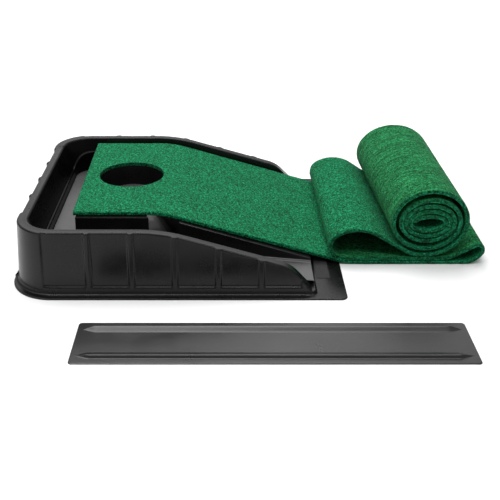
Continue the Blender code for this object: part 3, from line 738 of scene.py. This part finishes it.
def make_mat():
    """The felt along its path, with its cut edges and the hole."""
    count = len(PATH)
    across = np.linspace(-1, 1, 100)
    half, thick = MAT_WIDTH / 2, FELT / 2
    normal = np.column_stack([-np.sin(PATH[:, 2]), np.cos(PATH[:, 2])])
    # One trip round the cut section: the back, the far edge, the pile, the near edge.
    bottom = [(a * half, -1.0) for a in across]
    far = [(half, -0.55), (half, 0.0), (half, 0.55)]
    trip = bottom + far + [(a, 1.0) for a, _ in bottom[::-1]] + [(-a, s) for a, s in far[::-1]]
    trip = np.array(trip)
    k = len(trip)
    wide = len(bottom) - 1
    kind = np.array([1] * wide + [2, 2, 2, 0] + [0] * wide + [0, 2, 2, 2])
    x0, z0 = PATH[:, 0][:, None], PATH[:, 1][:, None]
    side = trip[:, 1][None, :]
    y = np.broadcast_to(trip[:, 0][None, :], (count, k)).copy()
    edge_round = 2.2
    near_edge = np.clip((np.abs(y) - (half - edge_round)) / edge_round, 0, 1)
    plump = 1 + 0.12 * smooth_step(RUN, ROLL_START - 60.0, ROLL_START + 60.0)[:, None]
    body = thick * plump * (1 - 0.16 * near_edge**2)
    # The cut edges wander a little, and the turns of the roll do not line up exactly.
    sway = np.array([noise.noise(Vector((run / 90.0, 3.1, 0.0))) for run in RUN]) * 0.9
    fine = np.array([noise.noise(Vector((run / 9.0, 7.7, 0.0))) for run in RUN]) * 0.45
    outer = np.sign(y) * (np.abs(y) > half - 0.5)
    y = y + sway[:, None] * 0.8 + outer * fine[:, None]
    skew = np.exp(-RUN / 60.0)[:, None] * -(y / half) * MAT_END_SKEW / 2
    reach = side * body
    x = x0 + skew + reach * normal[:, 0][:, None]
    z = z0 + reach * normal[:, 1][:, None]
    # The roll is a little wider at its far end, and lies turned towards the tray there.
    in_roll = smooth_step(RUN, ROLL_START - 160.0, ROLL_START + 40.0)[:, None]
    far_share = (y / half + 1) / 2
    x = x + in_roll * ((x - ROLL_X) * (0.09 * far_share) - 7.0 * far_share)
    in_loop = np.exp(-(((RUN - LOOP_RUN) / 70.0) ** 2))[:, None]
    x = x - in_loop * 4.0 * far_share
    z = z + in_loop * 3.0 * far_share
    points = np.stack([x, y + MAT_FRONT + half, z], -1)
    flat = points.reshape(-1, 3)
    grain = waves(flat, 4.2, 2) * 0.3 + waves(flat, 1.9, 6) * 0.3
    inward = np.repeat(side, count, 0).reshape(-1)
    push = (grain - 0.12)[:, None] * np.column_stack(
        [
            np.repeat(normal[:, 0], k) * inward,
            np.zeros(count * k),
            np.repeat(normal[:, 1], k) * inward,
        ]
    )
    flat = flat + push
    flat[:, 2] = np.maximum(flat[:, 2], 0.05)
    faces = grid_faces(count, k, wrap_columns=True)
    indices = np.tile(kind, count - 1).reshape(count - 1, k)
    # On the deck the pile hangs over the cut edge; in the folds and the roll the edge shows, in a
    # darker felt colour that is partly painted shade.
    on_deck = RUN[:-1] < 350.0
    far_edge, near_edge_start = len(bottom), k - 4
    edge_quads = [*range(far_edge, far_edge + 3), *range(near_edge_start, near_edge_start + 3)]
    indices[np.ix_(on_deck, edge_quads)] = 0
    indices = indices.ravel()
    mat = mesh_from("putting_felt", flat, faces, [PILE, BACK, EDGE_WITH_SHADE], indices)
    close_ends(mat)
    paint_run(mat, count, k)
    circle = arc(0, 0, 1.0, 0, 2 * math.pi * (1 - 1 / 120), 119)
    ring = []
    for c, s in circle:
        wobble = HOLE_RADIUS + 0.35 * noise.noise(Vector((c * 6, s * 6, 0.5)))
        ring.append((HOLE_X + c * wobble, HOLE_Y + s * wobble))
    cut(mat, prism("hole", [(x, y, 75.0) for x, y in ring], [(x, y, 100.0) for x, y in ring]))
    colour_hole(mat)
    return mat


def close_ends(obj):
    """Closes the two ends of the felt with cut faces."""
    shape = bmesh.new()
    shape.from_mesh(obj.data)
    edges = [e for e in shape.edges if e.is_boundary]
    made = bmesh.ops.holes_fill(shape, edges=edges, sides=0)["faces"]
    for face in made:
        # The cut ends take the darker edge colour, partly painted shade.
        face.material_index = 2
        face.smooth = False
    bmesh.ops.triangulate(shape, faces=made)
    bmesh.ops.recalc_face_normals(shape, faces=shape.faces)
    shape.to_mesh(obj.data)
    shape.free()


def paint_run(obj, count, k):
    """A UV map in metres, along and across the felt as it lies unrolled."""
    layer = obj.data.uv_layers.new(name="unrolled")
    index = np.empty(len(obj.data.loops), np.int32)
    obj.data.loops.foreach_get("vertex_index", index)
    co = np.empty(len(obj.data.vertices) * 3)
    obj.data.vertices.foreach_get("co", co)
    along = np.repeat(RUN, k) * MM
    uv = np.column_stack([along[np.minimum(index, len(along) - 1)], co.reshape(-1, 3)[index, 1]])
    layer.data.foreach_set("uv", uv.ravel())


def colour_hole(obj):
    middle = (np.array([HOLE_X, HOLE_Y, DECK_Z]) + ORIGIN) * MM
    for face in obj.data.polygons:
        c = face.center
        away = math.hypot(c.x - middle[0], c.y - middle[1])
        # The hole's cut wall takes the darker edge colour, partly painted shade.
        if away < (HOLE_RADIUS + 0.6) * MM and c.z > middle[2] and abs(face.normal.z) < 0.5:
            face.material_index = 2
            face.use_smooth = False


# Hook strip and return track


def make_strip():
    """Woven base tape with rows of small hooks."""
    low = np.array(STRIP_LOW) * 1000 - ORIGIN
    high = np.array(STRIP_HIGH) * 1000 - ORIGIN
    top = low[2] + 0.55
    x, y = np.linspace(low[0], high[0], 12), np.linspace(low[1], high[1], 120)
    grid_x, grid_y = np.meshgrid(x, y, indexing="ij")
    z = np.full_like(grid_x, top)
    z[0, :] = z[-1, :] = z[:, 0] = z[:, -1] = low[2]
    points = np.stack([grid_x, grid_y, z], -1).reshape(-1, 3)
    faces = grid_faces(len(x), len(y)).tolist()
    points = points.tolist()
    rows, columns = int((high[0] - low[0] - 2) / 1.7), int((high[1] - low[1] - 2) / 1.9)
    for i in range(rows + 1):
        for j in range(columns + 1):
            px, py = low[0] + 1.2 + i * 1.7, low[1] + 1.2 + j * 1.9
            base = len(points)
            lean = 0.25 if (i + j) % 2 else -0.25
            for level, (reach, shift) in enumerate(((0.26, 0.0), (0.2, lean), (0.3, lean * 2.2))):
                z_level = (top - 0.1, high[2] - 0.35, high[2])[level]
                for sx, sy in ((-1, -1), (1, -1), (1, 1), (-1, 1)):
                    points.append((px + sx * reach, py + sy * reach + shift, z_level))
            for level in (0, 4):
                ring = base + level
                for q in range(4):
                    r = (q + 1) % 4
                    faces.append([ring + q, ring + r, ring + 4 + r, ring + 4 + q])
            faces.append([base + 8, base + 9, base + 10, base + 11])
    return mesh_from("hook_tape_strip", points, faces, [TAPE], smooth=False)


def make_track():
    """A shallow formed tray with two long ridges that taper to points."""
    low = np.array(TRACK_LOW) * 1000 - ORIGIN
    high = np.array(TRACK_HIGH) * 1000 - ORIGIN
    mid_x, mid_y = (low[0] + high[0]) / 2, (low[1] + high[1]) / 2
    half_x, half_y = (high[0] - low[0]) / 2, (high[1] - low[1]) / 2
    top = 1.5
    x = stations(-half_x, half_x, 2.5, (-half_x + 5, half_x - 5))
    y = stations(-half_y, half_y, 1.6, (-38.0, -24.0, 24.0, 38.0, -half_y + 3, half_y - 3))
    grid_x, grid_y = np.meshgrid(x, y, indexing="ij")
    z = np.full_like(grid_x, top)
    tip, taper, half_ridge = half_x - 7.0, 18.0, 7.0
    reach_of_ridge = half_ridge * np.clip((tip - np.abs(grid_x)) / taper, 0, 1)
    for middle in (-31.0, 31.0):
        outward = (grid_y - middle) * math.copysign(1, middle)
        gentle = (outward + reach_of_ridge) / 9.5
        steep = (reach_of_ridge - outward) / 2.6
        lift = np.clip(np.minimum(gentle, steep), 0, 1)
        z = z + (high[2] - top) * (0.75 * lift + 0.25 * smooth_step(lift, 0.0, 1.0))
    away = np.minimum(half_x - np.abs(grid_x), half_y - np.abs(grid_y))
    z = z - 0.9 * (1 - smooth_step(away, 0.0, 1.2))
    uneven = waves(np.stack([grid_x, grid_y, z], -1).reshape(-1, 3), 60.0, 8).reshape(z.shape)
    z = z + 0.1 * smooth_step(away, 2.0, 9.0) * uneven
    radius = 5.0
    over_x = np.maximum(np.abs(grid_x) - (half_x - radius), 0)
    over_y = np.maximum(np.abs(grid_y) - (half_y - radius), 0)
    reach = np.hypot(over_x, over_y)
    largest = np.maximum(over_x, over_y)
    scale = np.where(reach > 1e-6, largest / np.maximum(reach, 1e-6), 1)
    grid_x = np.sign(grid_x) * (np.abs(grid_x) - over_x * (1 - scale))
    grid_y = np.sign(grid_y) * (np.abs(grid_y) - over_y * (1 - scale))
    points = np.stack([grid_x + mid_x, grid_y + mid_y, z], -1).reshape(-1, 3)
    return mesh_from("loose_track", points, grid_faces(len(x), len(y)), [TRACK_BLACK])


def thicken(obj, thickness):
    """Gives a surface the thickness of the sheet, on its underside."""
    shape = bmesh.new()
    shape.from_mesh(obj.data)
    bmesh.ops.recalc_face_normals(shape, faces=shape.faces)
    up = sum(f.normal.z * f.calc_area() for f in shape.faces)
    if up < 0:
        bmesh.ops.reverse_faces(shape, faces=shape.faces)
    shape.to_mesh(obj.data)
    shape.free()
    solid = obj.modifiers.new("sheet", "SOLIDIFY")
    solid.thickness = thickness * MM
    solid.offset = -1
    solid.use_even_offset = False
    apply_modifiers(obj)


# Stage


def light(name, place, target, width, height, power):
    """A soft box that faces its target."""
    data = bpy.data.lights.new(name, "AREA")
    data.shape = "RECTANGLE"
    data.size, data.size_y = width, height
    data.energy = power
    obj = link(bpy.data.objects.new(name, data))
    obj.location = place
    direction = Vector(target) - Vector(place)
    obj.rotation_euler = direction.to_track_quat("-Z", "Y").to_euler()


def stage():
    """A pale floor with a painted glow, soft light from above, and the camera."""
    half = 6.0
    mesh = bpy.data.meshes.new("floor")
    mesh.from_pydata(
        [(-half, -half, 0), (half, -half, 0), (half, half, 0), (-half, half, 0)], [], [(0, 1, 2, 3)]
    )
    floor = link(bpy.data.objects.new("floor", mesh))
    made, tree, shader = nodes_of("floor_paint")
    shader.inputs["Base Color"].default_value = (0.9, 0.9, 0.9, 1)
    shader.inputs["Roughness"].default_value = 0.9
    shader.inputs["Specular IOR Level"].default_value = 0.1
    mesh.materials.append(made)
    # Painted light: the floor glows, more the further it is from the object, standing in for a lit
    # studio sweep.
    away = add(tree, "ShaderNodeVectorMath", operation="LENGTH")
    tree.links.new(add(tree, "ShaderNodeTexCoord").outputs["Object"], away.inputs[0])
    painted_glow = mapped(tree, away.outputs["Value"], 0.9, 2.4, 0.0, 0.7)
    shader.inputs["Emission Color"].default_value = (1, 1, 1, 1)
    tree.links.new(painted_glow, shader.inputs["Emission Strength"])
    floor.location.z = -0.0002

    world = bpy.data.worlds.new("studio")
    bpy.context.scene.world = world
    world.use_nodes = True
    background = world.node_tree.nodes["Background"]
    background.inputs["Color"].default_value = (1, 1, 1, 1)
    background.inputs["Strength"].default_value = 0.34
    bpy.context.scene.view_settings.view_transform = "Standard"

    light("top", (-0.3, 0.7, 2.0), (0, 0.05, 0), 2.2, 1.5, 47)
    light("front", (-0.2, -0.9, 2.0), (0, 0, 0.05), 2.6, 0.3, 24)
    light("back", (0.1, 2.6, 1.5), (0, 0, 0.1), 3.0, 1.2, 12)

    camera = bpy.data.cameras.new("camera")
    camera.sensor_width = 36
    camera.lens = CAMERA_LENS
    camera.shift_x = CAMERA_SHIFT
    view = link(bpy.data.objects.new("camera", camera))
    view.location = (np.array(CAMERA_PLACE) + ORIGIN) * MM
    view.rotation_euler = (math.pi / 2 - CAMERA_DOWN, 0, 0)
    bpy.context.scene.camera = view


def main():
    """Builds each piece, then says what it rides on and replaces."""
    stage()
    shell = make_shell()
    floor = make_floor()
    deck = make_deck()
    bench = make_bench()
    thicken(shell, 1.9)
    for piece in (shell, floor, deck, bench):
        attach(piece, "tray_body")
    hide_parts("tray")
    strip = make_strip()
    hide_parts("hook_strip")
    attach(strip, "tray_body")
    mat = make_mat()
    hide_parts("felt_mat")
    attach(mat, "mat_body")
    track = make_track()
    thicken(track, 1.2)
    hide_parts("return_track")
    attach(track, "track_body")


main()
